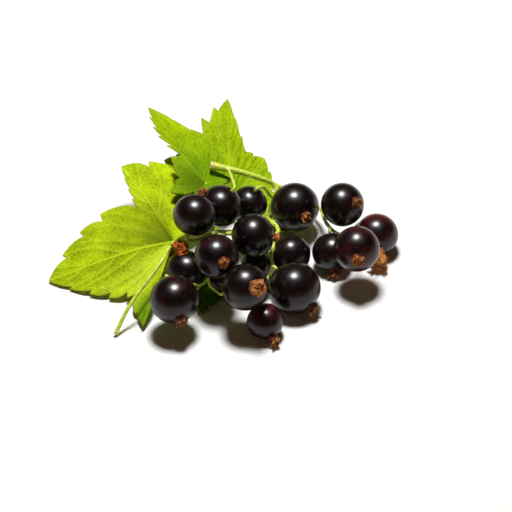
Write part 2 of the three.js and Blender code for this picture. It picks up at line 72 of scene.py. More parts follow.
# Berry skin. A relief is a feature size and a height.
SKIN_BLACK = (0.0014, 0.0007, 0.0010)
SKIN_RED = (0.040, 0.0028, 0.0055)
SKIN_BLUSH = (0.15, 0.010, 0.014)
SKIN_LINE = (0.06, 0.02, 0.02)
SKIN_SPECK = (0.16, 0.10, 0.06)
SCAR_DARK = (0.07, 0.022, 0.012)
SCAR_PALE = (0.26, 0.12, 0.05)
SKIN_LINES = 11  # faint lines from pole to pole
LINE_WANDER = 3.0
LINE_HEIGHT = 0.008
CLOUD_SIZE = 3.4
BLUSH_SIZE = 2.6
SPECK_SPACING = 0.8
SPECK_PATCHES = 2.0
SHEEN_SIZE = 1.3
SKIN_GRAIN = (0.35, 0.010)
SKIN_DENTS = (1.8, 0.05)

# Dried flowers
FLOWER_TURNS = 64
FLOWER_RINGS = 22
FLOWER_SEAT = 0.02  # how deep the flower sits in its dimple, as a share of the berry's radius
FLOWER_WIDTH = 0.23  # the cup's radius as a share of the berry's
CUP_LENGTH = 0.72  # shares of the flower's length
CUP_FLOOR = 0.55
SEPAL_FOOT = 0.42
FLOWER_FLARE = {13: 0.75, 16: 0.4, 7: 0.3, 1: 0.2, 14: 0.1}  # how much the cup opens outwards
PLAIN_FLARE = -0.05
FLOWER_BRIGHTNESS = {
    13: 1.0, 16: 1.0, 7: 0.8, 6: 0.6, 4: 0.7, 5: 0.6, 12: 0.7, 10: 0.4, 14: 0.45, 1: 0.3, 8: 0.1,
    15: 0.3,
}
PLAIN_BRIGHTNESS = 0.25
# How strongly a painted orange glow of light shining through a flower shows on it:
GLOWING_FLOWERS = {16: 0.9}
FLOWER_SHARES = {  # how long and how wide the flower is, as shares of the CAD form's reach
    1: (0.80, 0.85), 4: (0.60, 0.80), 5: (0.75, 0.80), 6: (0.80, 1.00), 7: (0.80, 1.30),
    8: (0.70, 0.80), 10: (0.80, 1.00), 11: (0.40, 0.95), 12: (0.42, 1.10), 13: (1.00, 1.15),
    14: (0.75, 0.95), 15: (0.62, 1.00), 16: (1.10, 1.20),
}
PLAIN_SHARES = (0.85, 0.95)
SEPALS = 5
SEPAL_STEPS = 12
SEPAL_THICKNESS = 0.11
SEPAL_TIP = 0.06  # half the width left at its tip
SEPAL_CURLS = (-2.6, -1.8, 1.6, 2.6)
SEPAL_SECTION = (  # places across it, as shares of half its width, and the face that each is on
    (-1, 1), (-0.4, 1), (0.1, 1), (0.6, 1), (1, 1), (0.5, -1), (0, -1), (-0.5, -1),
)
SEPAL_ROUGHNESS = 0.22
SEPAL_CRUMPLES = 0.55
FLOWER_BLACK = (0.035, 0.010, 0.006)
FLOWER_BROWN = (0.18, 0.06, 0.02)
FLOWER_RUST = (0.50, 0.09, 0.012)
FLOWER_TAN = (0.34, 0.14, 0.05)
FLOWER_GOLD = (0.74, 0.28, 0.05)
# The painted glow's orange, light shining through a flower:
FLOWER_GLOW_ORANGE = (0.80, 0.17, 0.01)
# Painted shade in the wrinkles' creases, and painted light on their ridges:
PAINTED_CREASE_SHADE = (0.022, 0.007, 0.005)
PAINTED_RIDGE_LIGHT = (0.62, 0.30, 0.10)
FLOWER_WRINKLES = (0.25, 0.2)

# Stalk
STALK_VOXEL = 0.13
STALK_SMOOTHING = 5
STALK_CUT_END = (-3.4, 23.9, 15.0)  # across, up the picture, height over the table
CUT_REACH = 1.7
COLLAR_REACH = 0.75
STALK_GREEN = (0.50, 0.64, 0.03)
STALK_YELLOW = (0.82, 0.92, 0.13)
CUT_PALE = (0.85, 0.66, 0.32)
CUT_BROWN = (0.40, 0.20, 0.08)
COLLAR_BROWN = (0.25, 0.18, 0.04)
STALK_STREAK = 0.8
STALK_BLOTCH = 0.6
STALK_GRAIN = (0.3, 0.05)

# Leaf blades
BLADE_THICKNESS = 0.3
BLADE_LIFT = 0.02  # over the table
LEAF_SPACING = 0.27
SINUS_SHARE = 0.56
HEEL_RADIUS = 1.4
LOBE_FULLNESS = 0.32
SWELL_PLACE = 0.45
SLACK = 1.03
TOOTH_DEPTH = 0.2
TOOTH_ROOT = -0.45  # how far a tooth's root, belly and point stand out, as shares of its depth
TOOTH_RISE = (0.45, 0.75)
BELLY_PLACE = 0.45
TOOTH_STEPS = 9
DEPTH_AT_FOOT = 1.5
DEPTH_LOSS = 1.1
PILLOW_HEIGHT = 0.30  # how far the blade swells up between its veins
PILLOW_REACH = 1.2
WAVE_HEIGHT = 0.45
WAVE_SIZE = 7.0
WAVE_START = 8.0  # the waves reach their full height this far from the junction

# Veins
VEIN_STEPS = 6
VEIN_REACH = 2.6
MAIN_VEIN_HALF = (0.42, 0.14)  # half its width at its foot and at its end
SIDE_VEIN_HALF = (0.24, 0.12)
MAIN_VEIN_RISE = 0.34
SIDE_VEIN_RISE = 0.10
SMOOTH_SIDE = 0.12  # the share of the rise on the side where the veins are sunk
TOOTH_VEIN_BEND = 0.10
NOTCH_VEIN_BEND = 0.05
NET_SPACING = 1.15
FINE_NET_SHARE = 0.45

# Leaf colours
# Painted shade: the deeper green round the junctions and on a lobe that lies in shade
SHADE_GREEN = (0.08, 0.24, 0.002)
MARGIN_YELLOW = (0.45, 0.46, 0.06)
# Painted light: the lit green of a pool of light on a blade
PAINTED_LIGHT_GREEN = (0.75, 0.97, 0.06)
# Painted shade: how dark the blade's shaded copy of its green is, as a share of it
PAINTED_SHADE_SHARE = 0.25
DARK_PATCH = 0.68
BRIGHT_PATCH = (1.22, 1.14, 1.6)
MARGIN_REACH = 0.25
LEAF_GRAIN = (0.18, 0.02)
MESH_RISE = 0.16
MESH_SINK = -0.10
FINE_NET_RISE = 0.03
NO_ZONE = (0, 0, 0, 1)

# Petioles
PETIOLE_RADIUS = 0.5
PETIOLE_TURNS = 16
PETIOLE_STEPS = 10
GROOVE_DEPTH = 0.22
CUT_WEIGHT = 0.8

# The leaves. "deep" is how far a deeper green of painted shade reaches from the junction,
# "deep_lobe" the angle and the radius beyond which a lobe is all that painted deep green, and
# "painted_shade" and "pale" are a weight, the angles between which it lies and how far it reaches:
# the first is painted shade, the second a painted pool of light. A lobe's pairs are for the side before
# its
# rib and the side after it: the number of teeth, the first tooth made, their depth and how full
# the side is. "notch" is the angle and radius of the notch after the lobe, "bend" bows the rib,
# and "rise" says how far the teeth's bellies and points stand out.
LEAVES = [
    {
        "name": "leaf_left", "junction": (-11.5, -2.0, 10.0), "heel": (1, 0.6, 0.1),
        "bow": (0, 0, 1.0), "underside": True, "blade": (0.37, 0.53, 0.001),
        "vein": (0.70, 0.85, 0.03), "deep": 5.0, "deep_weight": 0.2, "deep_lobe": (48, 12),
        "painted_shade": (0.9, -95, 2, 12), "pale": (0.6, 6, 60, 20),
        "lobes": [
            {"angle": -120, "tip": (-6.5, 6.0, 9.5), "teeth": (2, 2), "full": (0.32, 0.15),
             "notch": (-92, 7.6)},
            {"angle": -62, "tip": (-23.4, 23.0, 10.4), "teeth": (9, 4), "first": (8, 1),
             "depth": (0.9, 0.14), "full": (1.12, 0.08), "notch": (-50, 13.5)},
            {"angle": 0, "tip": (-39.0, -4.5, 0.8), "teeth": (5, 5), "first": (2, 1),
             "depth": (0.33, 0.2), "full": (0.46, 0.4), "notch": (50, 13.5)},
            {"angle": 62, "tip": (-18.2, -20.7, 0.8), "teeth": (3, 3), "full": (0.24, 0.34)},
            {"angle": 118, "tip": (-14.2, -5.4, 6.6), "teeth": (1, 1)},
        ],
        "folds": [(46, (-19.3, -10.6, 2.4))],
        "petiole": [(-13, -7.2, 11.5), (-14.6, -11.7, 11.5), (-21, -18.7, 6), (-24.5, -23, 0.6)],
    },
    {
        "name": "leaf_back_left", "junction": (-4.5, 15.3, 13.0), "heel": (0.8, -0.6, -0.2),
        "bow": (1.5, 0.6, 1.0), "underside": False, "blade": (0.31, 0.49, 0.001),
        "vein": (0.55, 0.70, 0.01), "deep": 11.0, "painted_shade": (0.8, 40, 150, 9),
        "lobes": [
            {"angle": -118, "tip": (0.5, 18.3, 10.5), "teeth": (2, 2)},
            {"angle": -60, "tip": (-4.6, 29.0, 12.0), "teeth": (3, 1), "notch": (-50, 14.2)},
            {"angle": 0, "tip": (-17.4, 38.1, 16.0), "teeth": (3, 5), "depth": (0.03, 0.28),
             "full": (0.3, 0.5), "notch": (38, 9.6), "bend": -0.09, "rise": (0.28, 0.95)},
            {"angle": 60, "tip": (-13.6, 21.5, 14.0), "teeth": (3, 3), "full": (0.1, 0.32)},
            {"angle": 118, "tip": (-13.4, 10.3, 13.0), "teeth": (2, 2)},
        ],
        "petiole": [(-2.6, 12.0, 10.0), (-1.8, 10.6, 6.0), (-2.5, 8.0, 1.2)],
    },
    {
        "name": "leaf_back_right", "junction": (0.9, 22.9, 1.5), "heel": (0.3, -1, 0),
        "bow": (0, 0, 0.4), "underside": False, "blade": (0.31, 0.50, 0.001),
        "vein": (0.55, 0.70, 0.01), "deep": 7.0,
        "lobes": [
            {"angle": -118, "tip": (16.4, 12.9, 0.5), "teeth": (3, 3), "full": (0.5, 0.32)},
            {"angle": -60, "tip": (8.8, 35.3, 3.0), "teeth": (3, 2), "notch": (-30, 14)},
            {"angle": 0, "tip": (0.4, 46.4, 11.8), "teeth": (3, 5), "depth": (0.08, 0.5),
             "full": (0.15, 0.34), "notch": (36.5, 13.2), "rise": (0.02, 1.0)},
            {"angle": 60, "tip": (-13.6, 28.5, 8.4), "teeth": (3, 3)},
            {"angle": 118, "tip": (-8.0, 15.0, 4.5), "teeth": (2, 2), "full": (0.32, 0.6)},
        ],
        "petiole": [(2.0, 18.0, 1.2), (3.5, 12.0, 1.0), (6.0, 7.0, 0.8)],
    },
    # The leaf under the berries has its blade and vein greens darkened with painted shade.
    {
        "name": "leaf_under", "junction": (0, -2.0, 1.4), "heel": (0.2, 1, 0), "bow": (0, 0, 0.1),
        "underside": False, "blade": (0.09, 0.24, 0.004), "vein": (0.16, 0.34, 0.02), "deep": 9.0,
        "lobes": [
            {"angle": -118, "tip": (-5.0, 3.0, 1.2), "teeth": (1, 1)},
            {"angle": -60, "tip": (-9.5, -6.0, 0.7), "teeth": (2, 2)},
            {"angle": 0, "tip": (-5.8, -15.6, 0.5), "teeth": (4, 4)},
            {"angle": 60, "tip": (4.2, -10.5, 0.6), "teeth": (2, 2)},
            {"angle": 118, "tip": (3.0, -1.6, 1.0), "teeth": (1, 1)},
        ],
        "petiole": [(0.4, 0.6, 1.3), (1.2, 3.5, 0.8)],
    },
]

# Camera. The picture's scale is in points a millimetre.
POINTS_A_MM = 4.4
PICTURE_SIZE = 512
PICTURE_MIDDLE = (7.05, 3.2)  # what the picture's middle shows: across, up the picture
LENS = 400.0
SENSOR = 36.0
FARTHEST_SEEN = 20.0  # metres

# Floor and light, in metres and watts
FLOOR_REACH = 4.0
FLOOR_WHITE = (0.93, 0.93, 0.92)
LAMP_PLACE = (0.0, 0.07, 0.55)
LAMP_SIZE = 0.13
LAMP_POWER = 3.45
RIM_SIZE = 0.22
RIM_POWER = 3.6
ROOM_COLOUR = (1.0, 0.64, 0.32, 1.0)
ROOM_STRENGTH_LOW = 0.20  # at the horizon and below
ROOM_STRENGTH_HIGH = 0.035
ROOM_FADE_END = 0.5


# Meshes

def seen_at(across, up, height):
    """A point given by its place in the picture and its height over the table."""
    return np.array([across, (up - height * EYE_COS) / EYE_SIN, height]) - ORIGIN


def add_piece(name, points, faces, material, nodes=(), attributes=None):
    """A smooth mesh from points in millimetres, standing for the named CAD nodes."""
    mesh = bpy.data.meshes.new(name)
    mesh.from_pydata([tuple(p) for p in np.asarray(points) * MM], [], faces)
    mesh.validate()
    mesh.shade_smooth()
    for key, values in (attributes or {}).items():
        values = np.asarray(values, dtype=float)
        kind = "FLOAT_VECTOR" if values.ndim == 2 else "FLOAT"
        field = "vector" if values.ndim == 2 else "value"
        mesh.attributes.new(key, kind, "POINT").data.foreach_set(field, values.ravel())
    mesh.materials.append(material)
    piece = bpy.data.objects.new(name, mesh)
    bpy.context.collection.objects.link(piece)
    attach(piece, ROOT)
    if nodes:
        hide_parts(*nodes)


def mesh_points(mesh):
    """A mesh's own points, in millimetres."""
    found = np.empty(3 * len(mesh.vertices))
    mesh.vertices.foreach_get("co", found)
    return found.reshape(-1, 3) / MM


def above_table(points, height=0.0):
    """The points as an array, with none of them lower than the height."""
    points = np.array(points)
    points[:, 2] = np.maximum(points[:, 2], height)
    return points


def unit(vector):
    vector = np.asarray(vector, dtype=float)
    return vector / np.linalg.norm(vector)


def square_to(direction):
    """Two directions square to a given one."""
    helper = (0, 0, 1) if abs(direction[2]) < 0.9 else (1, 0, 0)
    side = unit(np.cross(helper, direction))
    return side, np.cross(direction, side)


def between(a, b, angle):
    """The direction at an angle from a, turned towards b."""
    return a * math.cos(angle) + b * math.sin(angle)


def fan_faces(ring, middle, flip=False):
    """A fan from one ring of points to its middle."""
    count = len(ring)
    pairs = [(ring[i], ring[(i + 1) % count]) for i in range(count)]
    return [(b, a, middle) if flip else (a, b, middle) for a, b in pairs]


def tube_faces(rings, count, start, end):
    """Quads between rings of equally many points, with fans to the two ends' middle points."""
    faces = []
    for r in range(rings - 1):
        for i in range(count):
            a = r * count + i
            b = r * count + (i + 1) % count
            faces.append((a, b, b + count, a + count))
    last = (rings - 1) * count
    faces += fan_faces(range(count), start, flip=True)
    faces += fan_faces(range(last, last + count), end)
    return faces


def wobble(point, size, seed):
    """Smooth noise from -1 to 1 with features of about the given size in millimetres."""
    return noise.noise(Vector(point) / size + Vector((seed, 2.3 * seed, -seed)))


def smooth_curve(points, steps):
    """A Catmull-Rom curve through the points."""
    points = [np.asarray(p, dtype=float) for p in points]
    ends = [2 * points[0] - points[1], *points, 2 * points[-1] - points[-2]]
    found = []
    for i in range(1, len(ends) - 2):
        a, b, c, d = ends[i - 1:i + 3]
        for k in range(steps):
            t = k / steps
            found.append(
                0.5 * (2 * b + (c - a) * t + (2 * a - 5 * b + 4 * c - d) * t ** 2
                       + (3 * b - a - 3 * c + d) * t ** 3)
            )
    found.append(points[-1])
    return found


# Materials

class Look:
    """A Principled material with helpers for its nodes. Values may be sockets or constants."""

    def __init__(self, name):
        self.material = bpy.data.materials.new(name)
        self.material.use_nodes = True
        self.tree = self.material.node_tree
        self.shader = self.tree.nodes["Principled BSDF"]

    def put(self, socket, value):
        if isinstance(value, bpy.types.NodeSocket):
            self.tree.links.new(value, socket)
        elif isinstance(value, tuple) and len(value) == 3 and socket.type == "RGBA":
            socket.default_value = (*value, 1.0)
        else:
            socket.default_value = value

    def node(self, kind, inputs=None, **settings):
        made = self.tree.nodes.new(kind)
        for key, value in settings.items():
            setattr(made, key, value)
        for key, value in (inputs or {}).items():
            self.put(made.inputs[key], value)
        return made

    def set(self, **values):
        for key, value in values.items():
            self.put(self.shader.inputs[key.replace("_", " ")], value)

    def place(self):
        return self.node("ShaderNodeTexCoord").outputs["Object"]

    def attribute(self, name, output="Fac"):
        return self.node("ShaderNodeAttribute", attribute_name=name).outputs[output]

    def noise(self, size, detail=3.0):
        """Noise with features of about the given size in millimetres."""
        inputs = {"Vector": self.place(), "Scale": 1 / (size * MM)}
        inputs.update({"Detail": detail, "Roughness": NOISE_ROUGHNESS})
        return self.node("ShaderNodeTexNoise", inputs).outputs["Fac"]

    def cells(self, size, vector, feature="DISTANCE_TO_EDGE"):
        """Distances in cells, as shares of the cells' size."""
        inputs = {"Vector": vector, "Scale": 1 / size}
        return self.node("ShaderNodeTexVoronoi", inputs, feature=feature).outputs["Distance"]

    def math(self, operation, a, b=0.0, clamp=False):
        made = self.node("ShaderNodeMath", {0: a, 1: b}, operation=operation, use_clamp=clamp)
        return made.outputs[0]

    def times(self, a, b):
        return self.math("MULTIPLY", a, b)

    def span(self, value, low, high, out_low=0.0, out_high=1.0):
        """value from low to high turned into out_low to out_high, smoothly and held at both ends."""
        made = self.node(
            "ShaderNodeMapRange",
            {"Value": value, "From Min": low, "From Max": high, "To Min": out_low, "To Max": out_high},
            interpolation_type="SMOOTHSTEP",
        )
        return made.outputs["Result"]

    def mix(self, factor, a, b):
        made = self.node("ShaderNodeMix", data_type="RGBA")
        self.put(made.inputs[0], factor)
        self.put(made.inputs[6], a)
        self.put(made.inputs[7], b)
        return made.outputs[2]

    def bump(self, height, distance, strength, normal=None):
        """distance is the height in millimetres that a change of 1 stands for."""
        inputs = {"Height": height, "Distance": distance * MM, "Strength": strength}
        if normal is not None:
            inputs["Normal"] = normal
        return self.node("ShaderNodeBump", inputs).outputs["Normal"]


def skin_lines(look, own):
    """Faint lines from pole to pole, which wander a little."""
    turn = look.math("ARCTAN2", own["Y"], own["X"])
    turn = look.math("ADD", look.times(turn, SKIN_LINES / math.tau), look.noise(LINE_WANDER, 2.0))
    line = look.math("ABSOLUTE", look.math("SUBTRACT", look.math("FRACT", turn), 0.5))
    return look.span(line, 0.0, 0.07, 1.0, 0.0)


def skin_blush(look, own, redness):
    """The brighter red of the reddest berries, towards the stalk end."""
    blush = look.times(look.span(own["Z"], 0.25, -0.95), look.span(redness, 0.55, 1.0))
    blush = look.times(blush, look.span(look.noise(BLUSH_SIZE), 0.25, 0.6, 0.5, 1.0))
    return look.times(blush, 0.85)


def skin_specks(look):
    specks = look.cells(SPECK_SPACING * MM, look.place(), "F1")
    specks = look.span(specks, 0.06, 0.15, 1.0, 0.0)
    return look.times(specks, look.span(look.noise(SPECK_PATCHES), 0.5, 0.65))


def berry_look():
    look = Look("berry_skin")
    own = look.node("ShaderNodeSeparateXYZ", {0: look.attribute("own_direction", "Vector")}).outputs
    redness = look.attribute("redness")
    scar = look.attribute("scar")
    line = skin_lines(look, own)
    red = look.times(look.span(look.noise(CLOUD_SIZE), 0.38, 0.68), redness)
    colour = look.mix(red, SKIN_BLACK, SKIN_RED)
    colour = look.mix(skin_blush(look, own, redness), colour, SKIN_BLUSH)
    colour = look.mix(look.times(line, 0.10), colour, SKIN_LINE)
    colour = look.mix(look.times(skin_specks(look), 0.5), colour, SKIN_SPECK)
    scar_colour = look.mix(look.noise(0.4), SCAR_DARK, SCAR_PALE)
    colour = look.mix(look.span(scar, 0.25, 0.8), colour, scar_colour)
    roughness = look.span(look.noise(SHEEN_SIZE, 5.0), 0.3, 0.75, 0.27, 0.36)
    roughness = look.math("ADD", roughness, look.times(scar, 0.4), clamp=True)
    relief = look.bump(look.noise(SKIN_GRAIN[0]), SKIN_GRAIN[1], 0.5)
    relief = look.bump(look.noise(SKIN_DENTS[0], 2.0), SKIN_DENTS[1], 0.5, relief)
    relief = look.bump(line, LINE_HEIGHT, 0.6, relief)
    look.set(Base_Color=colour, Roughness=roughness, Normal=relief)
    look.set(IOR=1.36, Coat_Weight=0.25, Coat_Roughness=0.2)
    return look.material


def flower_look():
    look = Look("dried_flower")
    bright = look.attribute("bright")
    dark = look.mix(look.noise(0.5, 5.0), FLOWER_BLACK, look.mix(bright, FLOWER_BROWN, FLOWER_RUST))
    pale = look.mix(bright, FLOWER_TAN, FLOWER_GOLD)
    tips = look.math("ADD", look.attribute("along"), look.math("SUBTRACT", look.noise(0.6), 0.5))
    tips = look.math("ADD", tips, look.times(bright, 0.4))
    colour = look.mix(look.span(tips, 0.3, 1.0), dark, pale)
    wrinkles = look.noise(FLOWER_WRINKLES[0], 6.0)
    # Painted shade in the creases of the wrinkles and painted light on their ridges.
    colour = look.mix(look.span(wrinkles, 0.36, 0.48, 0.85, 0.0), colour, PAINTED_CREASE_SHADE)
    colour = look.mix(look.span(wrinkles, 0.56, 0.66, 0.0, 0.35), colour, PAINTED_RIDGE_LIGHT)
    # A painted glow: light shining through the flower, painted in orange over its own brown.
    painted_glow = look.times(look.attribute("painted_glow"), look.span(look.noise(0.7), 0.35, 0.6))
    colour = look.mix(painted_glow, colour, FLOWER_GLOW_ORANGE)
    relief = look.bump(wrinkles, FLOWER_WRINKLES[1], 1.0)
    look.set(Base_Color=colour, Roughness=0.62, Specular_IOR_Level=0.2, Normal=relief)
    return look.material


def stalk_look():
    look = Look("stalk_green")
    cut = look.attribute("cut")
    streak = look.span(look.noise(STALK_STREAK, 4.0), 0.3, 0.7)
    colour = look.mix(streak, STALK_GREEN, STALK_YELLOW)
    colour = look.mix(look.span(cut, 0.3, 0.95), colour, CUT_PALE)
    blotch = look.times(look.span(look.noise(STALK_BLOTCH, 4.0), 0.5, 0.7), cut)
    colour = look.mix(look.times(blotch, 0.35), colour, CUT_BROWN)
    colour = look.mix(look.times(look.attribute("collar"), 0.5), colour, COLLAR_BROWN)
    relief = look.bump(look.noise(STALK_GRAIN[0], 4.0), STALK_GRAIN[1], 0.7)
    look.set(Base_Color=colour, Roughness=0.42, Normal=relief)
    look.set(Subsurface_Weight=0.15, Subsurface_Scale=0.8 * MM, Subsurface_Radius=(1.0, 0.9, 0.25))
    return look.material


def blade_colour(look, blade, flat):
    """The blade's own green, in darker and brighter patches, and a deeper green of painted shade where
    it is marked.
    """
    patch = look.node("ShaderNodeTexNoise", {"Vector": flat, "Scale": 0.16, "Detail": 4.0})
    darker = tuple(DARK_PATCH * c for c in blade)
    brighter = tuple(share * c for share, c in zip(BRIGHT_PATCH, blade))
    colour = look.mix(look.span(patch.outputs["Fac"], 0.3, 0.7), darker, brighter)
    return look.mix(look.times(look.attribute("deep"), 0.9), colour, SHADE_GREEN)


def leaf_look(name, blade, vein, puffed):
    """puffed tells whether the blade swells up between its veins, as it does on its upper side."""
    look = Look(name)
    flat = look.attribute("flat", "Vector")
    warp = look.node("ShaderNodeTexNoise", {"Vector": flat, "Scale": 0.7, "Detail": 2.0})
    bent = look.node("ShaderNodeVectorMath", {0: flat, 1: warp.outputs["Color"]}, operation="ADD")
    bent = bent.outputs[0]
    meshes = look.cells(NET_SPACING, bent)
    net = look.span(meshes, 0.0, 0.13, 1.0, 0.0)
    fine = look.span(look.cells(FINE_NET_SHARE * NET_SPACING, bent), 0.0, 0.16, 1.0, 0.0)
    colour = blade_colour(look, blade, flat)
    # The veins take the painted shade's deeper green too.
    vein = look.mix(look.span(look.attribute("deep"), 0.0, 1.0, 1.0, 0.35), SHADE_GREEN, vein)
    colour = look.mix(look.times(fine, 0.16), colour, vein)
    colour = look.mix(look.times(net, 0.45), colour, vein)
    colour = look.mix(look.times(look.attribute("side_vein"), 0.6), colour, vein)
    colour = look.mix(look.times(look.attribute("main_vein"), 0.95), colour, vein)
    colour = look.mix(look.times(look.attribute("margin"), 0.3), colour, MARGIN_YELLOW)
    # Painted shade: the blade darkened towards a dim copy of its own green in a zone by the junction.
    colour = look.mix(look.attribute("painted_shade"), colour, tuple(PAINTED_SHADE_SHARE * c for c in blade))
    # Painted light: the pale zone mixes the blade towards a lit green, a painted pool of light and
    # sheen.
    colour = look.mix(look.attribute("pale"), colour, PAINTED_LIGHT_GREEN)
    grain = look.noise(LEAF_GRAIN[0], 2.0)
    relief = look.bump(look.span(meshes, 0.0, 0.5), MESH_RISE if puffed else MESH_SINK, 0.8)
    relief = look.bump(fine, FINE_NET_RISE, 0.6, relief)
    relief = look.bump(grain, LEAF_GRAIN[1], 0.4, relief)
    look.set(Base_Color=colour, Roughness=look.span(grain, 0.3, 0.7, 0.40, 0.55), Normal=relief)
    look.set(Specular_IOR_Level=0.02)
    look.set(Subsurface_Weight=0.15, Subsurface_Scale=0.4 * MM, Subsurface_Radius=(0.8, 1.0, 0.1))
    return look.material


# Berries

def berry_places():
    """Each berry's middle, radius and the way its dried flower points, from the frame."""
    found = {}
    for number in range(1, BERRY_COUNT + 1):
        low, high = (np.array(corner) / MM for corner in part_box(f"berry_{number:02d}"))
        radius = (high[0] - low[0]) / 2
        middle = np.array([(low[0] + high[0]) / 2, (low[1] + high[1]) / 2, high[2] - radius])
        petals = mesh_points(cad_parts[f"dried_flower_{number:02d}"].data)
        axis = unit(petals.mean(axis=0) - middle)
        found[number] = {"middle": middle, "radius": radius, "axis": axis, "petals": petals}
    return found


def make_berry(number, place, material):
    """A ball with a dimple at its flower and at its stalk, a little uneven all over."""
    side, other = square_to(place["axis"])
    points = []
    own = []
    scar = []
    for r in range(1, BERRY_RINGS):
        pole = math.pi * r / BERRY_RINGS
        dent = FLOWER_DIMPLE * math.exp(-(pole / FLOWER_DIMPLE_SPREAD) ** 2)
        dent += STALK_DIMPLE * math.exp(-((math.pi - pole) / STALK_DIMPLE_SPREAD) ** 2)
        dent += BERRY_FLATTENING * math.cos(2 * pole)
        for k in range(BERRY_TURNS):
            turn = math.tau * k / BERRY_TURNS
            local = np.array([
                math.sin(pole) * math.cos(turn), math.sin(pole) * math.sin(turn), math.cos(pole),
            ])
            way = side * local[0] + other * local[1] + place["axis"] * local[2]
            uneven = BERRY_UNEVENNESS * wobble(way * 4, 5.0, number)
            points.append(place["middle"] + way * place["radius"] * (1 - dent + uneven))
            own.append(local)
            scar.append(math.exp(-(pole / SCAR_SPREAD) ** 4))
    for sign, dimple in ((1, FLOWER_DIMPLE), (-1, STALK_DIMPLE)):
        depth = place["radius"] * (1 - dimple - BERRY_FLATTENING)
        points.append(place["middle"] + sign * place["axis"] * depth)
        own.append(np.array([0.0, 0.0, sign]))
        scar.append(1.0 if sign > 0 else 0.0)
    top = len(points) - 2
    faces = [face[::-1] for face in tube_faces(BERRY_RINGS - 1, BERRY_TURNS, top, top + 1)]
    redness = np.full(len(points), REDNESS.get(number, PLAIN_REDNESS))
    add_piece(
        f"berry_skin_{number:02d}", above_table(points), faces, material,
        [f"berry_{number:02d}"], {"own_direction": own, "scar": scar, "redness": redness},
    )


# Dried flowers

def sepal(base, out, axis, size, draw):
    """One shrivelled sepal: a crumpled strip that curls over, closed all round."""
    across = np.cross(axis, out)
    curl = draw.choice(SEPAL_CURLS) * draw.uniform(0.8, 1.2)
    lean = draw.uniform(0.1, 0.6)
    twist = draw.uniform(-0.8, 0.8)
    wide = size["radius"] * draw.uniform(0.5, 0.8)
    length = size["length"] * draw.uniform(0.4, 0.55)
    place = base
    rows = []
    for k in range(SEPAL_STEPS + 1):
        t = k / SEPAL_STEPS
        angle = lean + curl * t ** 1.5
        place = place + between(axis, out, angle) * length / SEPAL_STEPS
        face = between(out, -axis, angle)
        edge = between(across, face, twist * t)
        half = wide * (1 - t) ** 0.45 + SEPAL_TIP
        crease = 0.3 * half * math.sin(9 * t + curl)
        row = []
        for share, side in SEPAL_SECTION:
            fold = (0.5 * half * (abs(share) - 0.4)) + crease * share
            spot = place + edge * half * share
            rough = SEPAL_ROUGHNESS * wobble(spot, SEPAL_CRUMPLES, curl)
            row.append(spot + face * (side * SEPAL_THICKNESS / 2 - fold + rough))
        rows.append(row)
    points = [p for row in rows for p in row] + [np.mean(rows[0], axis=0), np.mean(rows[-1], axis=0)]
    return points, tube_faces(len(rows), len(SEPAL_SECTION), len(points) - 2, len(points) - 1)


def flower_cup(number, seat, axes, size, phase):
    """The withered cup: its points, and how far along the flower each of them lies."""
    side, other, axis = axes
    flare = FLOWER_FLARE.get(number, PLAIN_FLARE)
    points = []
    along = []
    for r in range(FLOWER_RINGS + 1):
        t = r / FLOWER_RINGS
        neck = 0.78 + 0.5 * math.exp(-(t / 0.1) ** 2) + 0.26 * math.sin(math.pi * min(1, t * 1.25))
        neck += flare * t - 0.25 * t ** 5
        for k in range(FLOWER_TURNS):
            turn = math.tau * k / FLOWER_TURNS
            way = between(side, other, turn)
            pleat = 0.16 * math.cos(SEPALS * turn + phase + 1.4 * t) + 0.07 * math.cos(13 * turn - 3 * t)
            crumple = 0.34 * wobble(way * 2.2 + axis * 5 * t, 1.0, number)
            radius = size["radius"] * neck * (1 + (pleat + crumple) * min(1, 0.3 + 2 * t))
            ragged = 0.12 * math.cos(SEPALS * turn + phase) + 0.1 * wobble(way * 3, 1.0, number + 9)
            rise = size["length"] * CUP_LENGTH * t * (1 + t ** 3 * ragged * 2)
            points.append(seat + axis * rise + way * radius)
            along.append(0.55 * t)
    points += [seat, seat + axis * size["length"] * CUP_FLOOR]
    along += [0.0, 0.1]
    return points, along


def make_flower(number, place, material):
    draw = random.Random(number)
    axis = place["axis"]
    side, other = square_to(axis)
    reach = ((place["petals"] - place["middle"]) @ axis).max()
    seat = place["middle"] + axis * place["radius"] * (1 - FLOWER_DIMPLE - FLOWER_SEAT)
    long, wide = FLOWER_SHARES.get(number, PLAIN_SHARES)
    size = {
        "length": long * (reach - place["radius"] * (1 - FLOWER_DIMPLE)),
        "radius": wide * FLOWER_WIDTH * place["radius"],
    }
    phase = draw.uniform(0, math.tau)
    points, along = flower_cup(number, seat, (side, other, axis), size, phase)
    faces = tube_faces(FLOWER_RINGS + 1, FLOWER_TURNS, len(points) - 2, len(points) - 1)
    for k in range(SEPALS):
        out = between(side, other, (math.tau * k - phase) / SEPALS)
        base = seat + axis * size["length"] * SEPAL_FOOT + out * size["radius"] * 0.75
        more, more_faces = sepal(base, out, axis, size, draw)
        faces += [tuple(i + len(points) for i in face) for face in more_faces]
        points += more
        along += [0.5 + 0.5 * i / len(more) for i in range(len(more))]
    bright = np.full(len(points), FLOWER_BRIGHTNESS.get(number, PLAIN_BRIGHTNESS))
    painted_glow = np.full(len(points), GLOWING_FLOWERS.get(number, 0.0))
    add_piece(
        f"dried_flower_brown_{number:02d}", above_table(points), faces, material,
        [f"dried_flower_{number:02d}"], {"along": along, "bright": bright, "painted_glow": painted_glow},
    )


# Stalk

